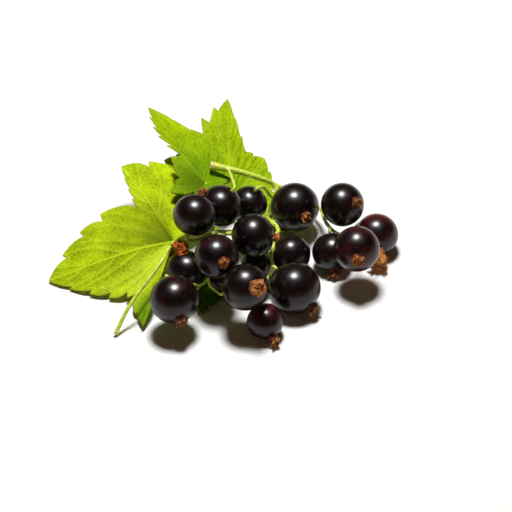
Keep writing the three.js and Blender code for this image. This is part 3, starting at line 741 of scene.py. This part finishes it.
def fine_stalk():
    """The CAD stalk's form as a fine, smoothed mesh."""
    rough = bpy.data.objects.new("stalk_form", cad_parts["fruit_stalk"].data.copy())
    bpy.context.collection.objects.link(rough)
    remesh = rough.modifiers.new("fine", "REMESH")
    remesh.mode = "VOXEL"
    remesh.voxel_size = STALK_VOXEL * MM
    soften = rough.modifiers.new("soften", "SMOOTH")
    soften.factor = 0.5
    soften.iterations = STALK_SMOOTHING
    fine = bpy.data.meshes.new_from_object(rough.evaluated_get(bpy.context.evaluated_depsgraph_get()))
    bpy.data.objects.remove(rough)
    points = mesh_points(fine)
    faces = [tuple(face.vertices) for face in fine.polygons]
    bpy.data.meshes.remove(fine)
    return points, faces


def nearness(points, spot, reach):
    """1 at the spot, falling off to nothing round it."""
    return np.exp(-(np.linalg.norm(points - spot, axis=1) / reach) ** 2)


def make_stalk(places, material):
    """The stalk, with its cut end and the collars where the berries hang marked."""
    points, faces = fine_stalk()
    cut = nearness(points, seen_at(*STALK_CUT_END), CUT_REACH)
    collar = np.zeros(len(points))
    for place in places.values():
        end = place["middle"] - place["axis"] * place["radius"]
        collar = np.maximum(collar, nearness(points, end, COLLAR_REACH))
    add_piece(
        "stalk_skin", points, faces, material, ["fruit_stalk"], {"cut": cut, "collar": collar}
    )


# Leaf outlines

def polar(radius, angle):
    return np.array([radius * math.cos(angle), radius * math.sin(angle)])


def leaf_ribs(leaf):
    """The leaf's lobes with what they leave out filled in."""
    ribs = []
    for lobe in leaf["lobes"]:
        span = np.array(lobe["tip"]) - np.array(leaf["junction"])
        ribs.append({
            "angle": math.radians(lobe["angle"]),
            "way": unit(span),
            "length": np.linalg.norm(span) * SLACK,
            "teeth": lobe["teeth"],
            "first": lobe.get("first", (1, 1)),
            "depth": lobe.get("depth", (TOOTH_DEPTH, TOOTH_DEPTH)),
            "rise": lobe.get("rise", TOOTH_RISE),
            "full": lobe.get("full", (LOBE_FULLNESS, LOBE_FULLNESS)),
            "notch": lobe.get("notch"),
            "bend": lobe.get("bend", 0.0),
        })
    return ribs


def leaf_notches(ribs):
    """The notches between the lobes as (angle, radius), with the petiole's at both ends."""
    found = [(-math.pi, HEEL_RADIUS)]
    for a, b in zip(ribs, ribs[1:]):
        if a["notch"]:
            found.append((math.radians(a["notch"][0]), a["notch"][1]))
            continue
        lean = a["length"] / (a["length"] + b["length"])
        angle = a["angle"] + (b["angle"] - a["angle"]) * (0.3 + 0.4 * lean)
        short, long = sorted((a["length"], b["length"]))
        found.append((angle, SINUS_SHARE * short ** 0.75 * long ** 0.25))
    return found + [(math.pi, HEEL_RADIUS)]


class LobeSide:
    """One side of a lobe, from the notch at its foot to its tip, with forward-pointing teeth."""

    def __init__(self, rib, notch, turn):
        self.rib = rib
        self.turn = turn
        hand = 0 if turn < 0 else 1
        self.teeth = rib["teeth"][hand]
        self.first = rib["first"][hand]
        self.depth = rib["depth"][hand]
        self.belly, self.point = rib["rise"]
        self.foot = polar(notch[1], notch[0])
        self.tip = polar(rib["length"], rib["angle"])
        along = notch[1] * math.cos(notch[0] - rib["angle"])
        along += (rib["length"] - along) * SWELL_PLACE
        outward = polar(1, rib["angle"] + turn * math.pi / 2)
        self.swell = polar(along, rib["angle"]) + outward * rib["full"][hand] * rib["length"]
        steps = [self.at(k / 20) for k in range(21)]
        self.length = sum(np.linalg.norm(b - a) for a, b in zip(steps, steps[1:]))

    def at(self, t):
        return (1 - t) ** 2 * self.foot + 2 * t * (1 - t) * self.swell + t ** 2 * self.tip

    def place(self, t, out):
        """A point out from the side by a share of a tooth's depth."""
        tangent = unit(2 * (1 - t) * (self.swell - self.foot) + 2 * t * (self.tip - self.swell))
        square = np.array([-self.turn * tangent[1], self.turn * tangent[0]])
        depth = self.depth * (DEPTH_AT_FOOT - DEPTH_LOSS * t) * self.length / self.teeth
        return self.at(t) + square * out * depth

    def edge(self):
        """Each tooth's long outer edge and its short way back."""
        found = []
        begin = 0.0
        for k in range(self.first, self.teeth + 1):
            stop = k / self.teeth
            start = self.place(begin, TOOTH_ROOT) if begin else self.foot
            crest = self.place(begin + BELLY_PLACE * (stop - begin), self.belly)
            end = self.place(stop, self.point) if k < self.teeth else self.tip
            for i in range(0 if begin else 1, TOOTH_STEPS):
                t = i / TOOTH_STEPS
                bow = 2 * crest - (start + end) / 2
                found.append((1 - t) ** 2 * start + 2 * t * (1 - t) * bow + t ** 2 * end)
            if k < self.teeth:
                found.append(end)
            begin = stop
        return found

    def tooth_tips(self):
        return [self.place(k / self.teeth, self.point) for k in range(self.first, self.teeth)]

    def tooth_middles(self):
        return [self.place((k + 0.5) / self.teeth, 0.2) for k in range(self.first, self.teeth)]


def leaf_outline(ribs):
    """The flat leaf's outline, and the sides of the lobes that it runs along."""
    notches = leaf_notches(ribs)
    sides = []
    outline = []
    for rib, before, after in zip(ribs, notches, notches[1:]):
        rising = LobeSide(rib, before, -1)
        falling = LobeSide(rib, after, 1)
        sides += [rising, falling]
        outline.append(rising.foot)
        outline += rising.edge()
        outline.append(rising.tip)
        outline += falling.edge()[::-1]
    return outline, sides


def spread(polygon, spacing):
    """The polygon with points added so that none of its edges is longer than the spacing."""
    found = []
    for a, b in zip(polygon, polygon[1:] + polygon[:1]):
        parts = max(1, math.ceil(np.linalg.norm(b - a) / spacing))
        found += [a + (b - a) * i / parts for i in range(parts)]
    return found


def distance_to_segments(points, segments):
    """Each point's distance to the nearest segment, and how far along that segment's vein it lies."""
    best = np.full(len(points), np.inf)
    share = np.zeros(len(points))
    for a, b, share_a, share_b in segments:
        line = b - a
        t = np.clip(((points - a) @ line) / max(line @ line, 1e-9), 0, 1)
        distance = np.linalg.norm(points - a - t[:, None] * line, axis=1)
        closer = distance < best
        best[closer] = distance[closer]
        share[closer] = (share_a + (share_b - share_a) * t)[closer]
    return best, share


def flat_leaf(outline):
    """Points and triangles that fill the outline with even spacing, and the outline's segments."""
    rim = spread(outline, LEAF_SPACING)
    edge = [(a, b, 0, 1) for a, b in zip(rim, rim[1:] + rim[:1])]
    low = np.min(rim, axis=0)
    high = np.max(rim, axis=0)
    inside = []
    for n, y in enumerate(np.arange(low[1], high[1], LEAF_SPACING * 0.866)):
        shift = (n % 2) * LEAF_SPACING / 2
        inside += [np.array([x + shift, y]) for x in np.arange(low[0], high[0], LEAF_SPACING)]
    inside = np.array(inside)
    inside = inside[distance_to_segments(inside, edge)[0] > 0.55 * LEAF_SPACING]
    flat = [Vector(p) for p in rim] + [Vector(p) for p in inside]
    made = delaunay_2d_cdt(flat, [], [list(range(len(rim)))], 1, 1e-6)
    points = np.array([tuple(p) for p in made[0]])
    triangles = np.array([tuple(face) for face in made[2]])
    return points, triangles, edge


# Leaf veins

def vein_segments(start, end, bend):
    """A vein from start to end that bows sideways by a share of its length."""
    line = end - start
    square = np.array([-line[1], line[0]]) * bend
    shares = np.linspace(0, 1, VEIN_STEPS + 1)
    places = [start + line * t + square * 4 * t * (1 - t) for t in shares]
    return list(zip(places, places[1:], shares, shares[1:]))


def leaf_veins(ribs, sides):
    """The main ribs, and the side veins that leave them for the teeth and the notches between."""
    main = []
    for rib in ribs:
        main += vein_segments(np.zeros(2), polar(rib["length"], rib["angle"]), rib["bend"])
    side = []
    for lobe_side in sides:
        rib = lobe_side.rib
        way = polar(1, rib["angle"])
        targets = [(tip, TOOTH_VEIN_BEND) for tip in lobe_side.tooth_tips()]
        targets += [(middle, NOTCH_VEIN_BEND) for middle in lobe_side.tooth_middles()]
        for target, bend in targets:
            out = abs(target @ np.array([-way[1], way[0]]))
            root = max(0.04 * rib["length"], target @ way - VEIN_REACH * out)
            side += vein_segments(way * root, target, lobe_side.turn * bend)
    return main, side


def tapered(ends, share):
    return ends[0] + (ends[1] - ends[0]) * share


def leaf_marks(flat, ribs, sides, edge):
    """Where each point of the flat blade lies among the veins and from the edge."""
    main, side = leaf_veins(ribs, sides)
    to_main, main_share = distance_to_segments(flat, main)
    to_side, side_share = distance_to_segments(flat, side)
    return {
        "radius": np.linalg.norm(flat, axis=1),
        "angle": np.arctan2(flat[:, 1], flat[:, 0]),
        "to_main": to_main,
        "to_side": to_side,
        "to_edge": distance_to_segments(flat, edge)[0],
        "main_share": main_share,
        "main_vein": np.clip(1 - to_main / tapered(MAIN_VEIN_HALF, main_share), 0, 1),
        "side_vein": np.clip(1 - to_side / tapered(SIDE_VEIN_HALF, side_share), 0, 1),
    }


# Leaf colour marks

def deep_green(leaf, radius, angle):
    """Painted shade: where the blade is a deeper green, round the junction and on the lobe beyond an
    angle.
    """
    found = leaf.get("deep_weight", 1.0) * np.exp(-(radius / leaf["deep"]) ** 2)
    if "deep_lobe" in leaf:
        start, reach = leaf["deep_lobe"]
        beyond = np.clip((angle - math.radians(start)) / 0.12, 0, 1)
        found = np.maximum(found, beyond * np.clip((radius - reach) / 3, 0, 1))
    return found


def zone(setting, radius, angle):
    """A zone's strength: its greatest weight between two angles, fading out with the radius."""
    weight, start, stop, reach = setting
    inside = np.clip((angle - math.radians(start)) / 0.6, 0, 1)
    inside = inside * np.clip((math.radians(stop) - angle) / 0.2, 0, 1)
    return weight * inside * np.exp(-(radius / reach) ** 2)


def leaf_attributes(leaf, flat, marks):
    """What the leaf's material reads at the points of the blade's upper and lower side."""
    radius = marks["radius"]
    angle = marks["angle"]
    values = {
        "flat": np.column_stack([flat, np.zeros(len(flat))]),
        "main_vein": marks["main_vein"],
        "side_vein": marks["side_vein"],
        "margin": np.exp(-(marks["to_edge"] / MARGIN_REACH) ** 2),
        "deep": deep_green(leaf, radius, angle),
        "painted_shade": zone(leaf.get("painted_shade", NO_ZONE), radius, angle),
        "pale": zone(leaf.get("pale", NO_ZONE), radius, angle),
    }
    return {key: np.concatenate([value, value]) for key, value in values.items()}


# Leaves in space

def way_fan(leaf, ribs, angles):
    """The direction in space of the lines that leave the junction at these angles."""
    heel = unit(leaf["heel"])
    folds = [
        {"angle": math.radians(angle), "way": unit(np.array(place) - leaf["junction"])}
        for angle, place in leaf.get("folds", [])
    ]
    inner = sorted([*ribs, *folds], key=lambda stop: stop["angle"])
    stops = [{"angle": -math.pi, "way": heel}, *inner, {"angle": math.pi, "way": heel}]
    knots = np.array([stop["angle"] for stop in stops])
    ways = np.array([stop["way"] for stop in stops])
    i = np.clip(np.searchsorted(knots, angles, side="left") - 1, 0, len(knots) - 2)
    before = np.maximum(i - 1, 0)
    after = np.minimum(i + 2, len(knots) - 1)
    step = (knots[i + 1] - knots[i])[:, None]
    t = ((angles - knots[i]) / step[:, 0])[:, None]
    slope_a = (ways[i + 1] - ways[before]) * step / (knots[i + 1] - knots[before])[:, None]
    slope_b = (ways[after] - ways[i]) * step / (knots[after] - knots[i])[:, None]
    found = ways[i] * (2 * t ** 3 - 3 * t ** 2 + 1) + slope_a * (t ** 3 - 2 * t ** 2 + t)
    found += ways[i + 1] * (-2 * t ** 3 + 3 * t ** 2) + slope_b * (t ** 3 - t ** 2)
    return found / np.linalg.norm(found, axis=1)[:, None]


def point_normals(points, triangles):
    corners = points[triangles]
    face = np.cross(corners[:, 1] - corners[:, 0], corners[:, 2] - corners[:, 0])
    found = np.zeros_like(points)
    for k in range(3):
        np.add.at(found, triangles[:, k], face)
    return found / np.linalg.norm(found, axis=1)[:, None]


def blade_middle(leaf, ribs, marks, triangles):
    """The blade's middle surface: bowed, swollen between its veins and waved."""
    radius = marks["radius"]
    longest = max(rib["length"] for rib in ribs)
    t = np.minimum(1, radius / longest)
    ways = way_fan(leaf, ribs, marks["angle"])
    middle = np.array(leaf["junction"]) - ORIGIN + ways * radius[:, None]
    middle += np.array(leaf["bow"]) * (4 * t * (1 - t))[:, None]
    nearest = np.minimum(marks["to_main"], 1.3 * marks["to_side"] + 0.15)
    pillow = PILLOW_HEIGHT * (1 - np.exp(-(nearest / PILLOW_REACH) ** 2))
    pillow *= np.clip(marks["to_edge"] / PILLOW_REACH, 0, 1)
    wave = WAVE_HEIGHT * np.array([wobble(p, WAVE_SIZE, longest) for p in middle])
    wave *= np.clip(radius / WAVE_START, 0, 1)
    lift = (-pillow if leaf["underside"] else pillow) + wave
    return middle + point_normals(middle, triangles) * lift[:, None]


def blade_shell(leaf, middle, marks, triangles):
    """The closed blade round its middle surface, with veins that stand out on its underside."""
    raised = MAIN_VEIN_RISE * marks["main_vein"] ** 0.6 * (1 - 0.6 * marks["main_share"])
    raised += SIDE_VEIN_RISE * marks["side_vein"]
    above = BLADE_THICKNESS / 2 + raised * (1 if leaf["underside"] else SMOOTH_SIDE)
    below = BLADE_THICKNESS / 2 + raised * (SMOOTH_SIDE if leaf["underside"] else 1)
    normals = point_normals(middle, triangles)
    points = np.vstack([middle + normals * above[:, None], middle - normals * below[:, None]])
    size = len(middle)
    faces = [tuple(face) for face in triangles]
    faces += [tuple(face[::-1] + size) for face in triangles]
    pairs = [pair for a, b, c in triangles for pair in ((a, b), (b, c), (c, a))]
    used = set(pairs)
    faces += [(b, a, a + size, b + size) for a, b in pairs if (b, a) not in used]
    return above_table(points, BLADE_LIFT), faces


def make_leaf(leaf):
    """A leaf's blade. Where leaf["underside"] is true, it lies with its underside up."""
    ribs = leaf_ribs(leaf)
    outline, sides = leaf_outline(ribs)
    flat, triangles, edge = flat_leaf(outline)
    marks = leaf_marks(flat, ribs, sides, edge)
    middle = blade_middle(leaf, ribs, marks, triangles)
    points, faces = blade_shell(leaf, middle, marks, triangles)
    look = leaf_look(leaf["name"] + "_green", leaf["blade"], leaf["vein"], not leaf["underside"])
    add_piece(
        leaf["name"] + "_blade", points, faces, look, [leaf["name"]],
        leaf_attributes(leaf, flat, marks),
    )


def make_petiole(leaf, material):
    """A leaf's own stalk, with a groove along it and a cut end."""
    route = [p - ORIGIN for p in smooth_curve([leaf["junction"], *leaf["petiole"]], PETIOLE_STEPS)]
    last = len(route) - 1
    points = []
    cut = []
    side = square_to(unit(route[1] - route[0]))[0]
    for i, middle in enumerate(route):
        ahead = unit(route[min(i + 1, last)] - route[max(i - 1, 0)])
        side = unit(side - ahead * (side @ ahead))
        other = np.cross(ahead, side)
        share = i / last
        radius = PETIOLE_RADIUS * (0.8 + 0.25 * share ** 4)
        for k in range(PETIOLE_TURNS):
            turn = math.tau * k / PETIOLE_TURNS
            groove = 1 - GROOVE_DEPTH * math.exp(-((turn - math.pi) / 0.6) ** 2)
            points.append(middle + radius * groove * between(side, other, turn))
            cut.append(CUT_WEIGHT * math.exp(-((1 - share) / 0.03) ** 2))
    points += [route[0], route[-1]]
    cut += [0.0, CUT_WEIGHT]
    faces = tube_faces(len(route), PETIOLE_TURNS, len(points) - 2, len(points) - 1)
    attributes = {"cut": cut, "collar": np.zeros(len(points))}
    add_piece(
        leaf["name"] + "_petiole", above_table(points), faces, material, (), attributes
    )


# Surroundings

def make_floor():
    look = Look("white_surface")
    look.set(Base_Color=FLOOR_WHITE, Roughness=0.55)
    mesh = bpy.data.meshes.new("floor")
    corners = [(x * FLOOR_REACH, y * FLOOR_REACH, 0) for x, y in ((-1, -1), (1, -1), (1, 1), (-1, 1))]
    mesh.from_pydata(corners, [], [(0, 1, 2, 3)])
    mesh.materials.append(look.material)
    floor = bpy.data.objects.new("floor", mesh)
    bpy.context.collection.objects.link(floor)


def make_lamp(name, size, power):
    data = bpy.data.lights.new(name, "AREA")
    data.shape = "DISK"
    data.size = size
    data.energy = power
    lamp = bpy.data.objects.new(name, data)
    lamp.location = LAMP_PLACE
    lamp.rotation_euler = (Vector((0, 0, 0)) - lamp.location).to_track_quat("-Z", "Y").to_euler()
    bpy.context.collection.objects.link(lamp)
    return lamp


def make_world():
    """A dim warm room, dimmer overhead."""
    world = bpy.data.worlds.new("studio")
    bpy.context.scene.world = world
    world.use_nodes = True
    tree = world.node_tree
    direction = tree.nodes.new("ShaderNodeTexCoord").outputs["Generated"]
    height = tree.nodes.new("ShaderNodeSeparateXYZ")
    tree.links.new(direction, height.inputs[0])
    dim = tree.nodes.new("ShaderNodeMapRange")
    dim.interpolation_type = "SMOOTHSTEP"
    dim.inputs["From Min"].default_value = 0.0
    dim.inputs["From Max"].default_value = ROOM_FADE_END
    dim.inputs["To Min"].default_value = ROOM_STRENGTH_LOW
    dim.inputs["To Max"].default_value = ROOM_STRENGTH_HIGH
    tree.links.new(height.outputs["Z"], dim.inputs["Value"])
    background = tree.nodes["Background"]
    tree.links.new(dim.outputs["Result"], background.inputs["Strength"])
    background.inputs["Color"].default_value = ROOM_COLOUR


def make_light():
    make_world()
    make_lamp("softbox", LAMP_SIZE, LAMP_POWER)
    rim = make_lamp("softbox_rim", RIM_SIZE, RIM_POWER)
    rim.visible_diffuse = False  # it only widens the highlights


def make_camera():
    across, up = PICTURE_MIDDLE
    target = np.array([across, up * EYE_SIN, up * EYE_COS]) - ORIGIN
    view = np.array([0.0, EYE_COS, -EYE_SIN])
    distance = LENS / SENSOR * PICTURE_SIZE / POINTS_A_MM
    data = bpy.data.cameras.new("camera")
    data.lens = LENS
    data.sensor_width = SENSOR
    data.clip_end = FARTHEST_SEEN
    camera = bpy.data.objects.new("camera", data)
    camera.location = Vector((target - view * distance) * MM)
    camera.rotation_euler = (math.pi / 2 - EYE_TILT, 0, 0)
    bpy.context.collection.objects.link(camera)
    bpy.context.scene.camera = camera
    bpy.context.scene.view_settings.view_transform = "Standard"


make_camera()
make_light()
make_floor()
places = berry_places()
skin = berry_look()
brown = flower_look()
green = stalk_look()
for number, place in places.items():
    make_berry(number, place, skin)
    make_flower(number, place, brown)
make_stalk(places, green)
for leaf in LEAVES:
    make_leaf(leaf)
    make_petiole(leaf, green)
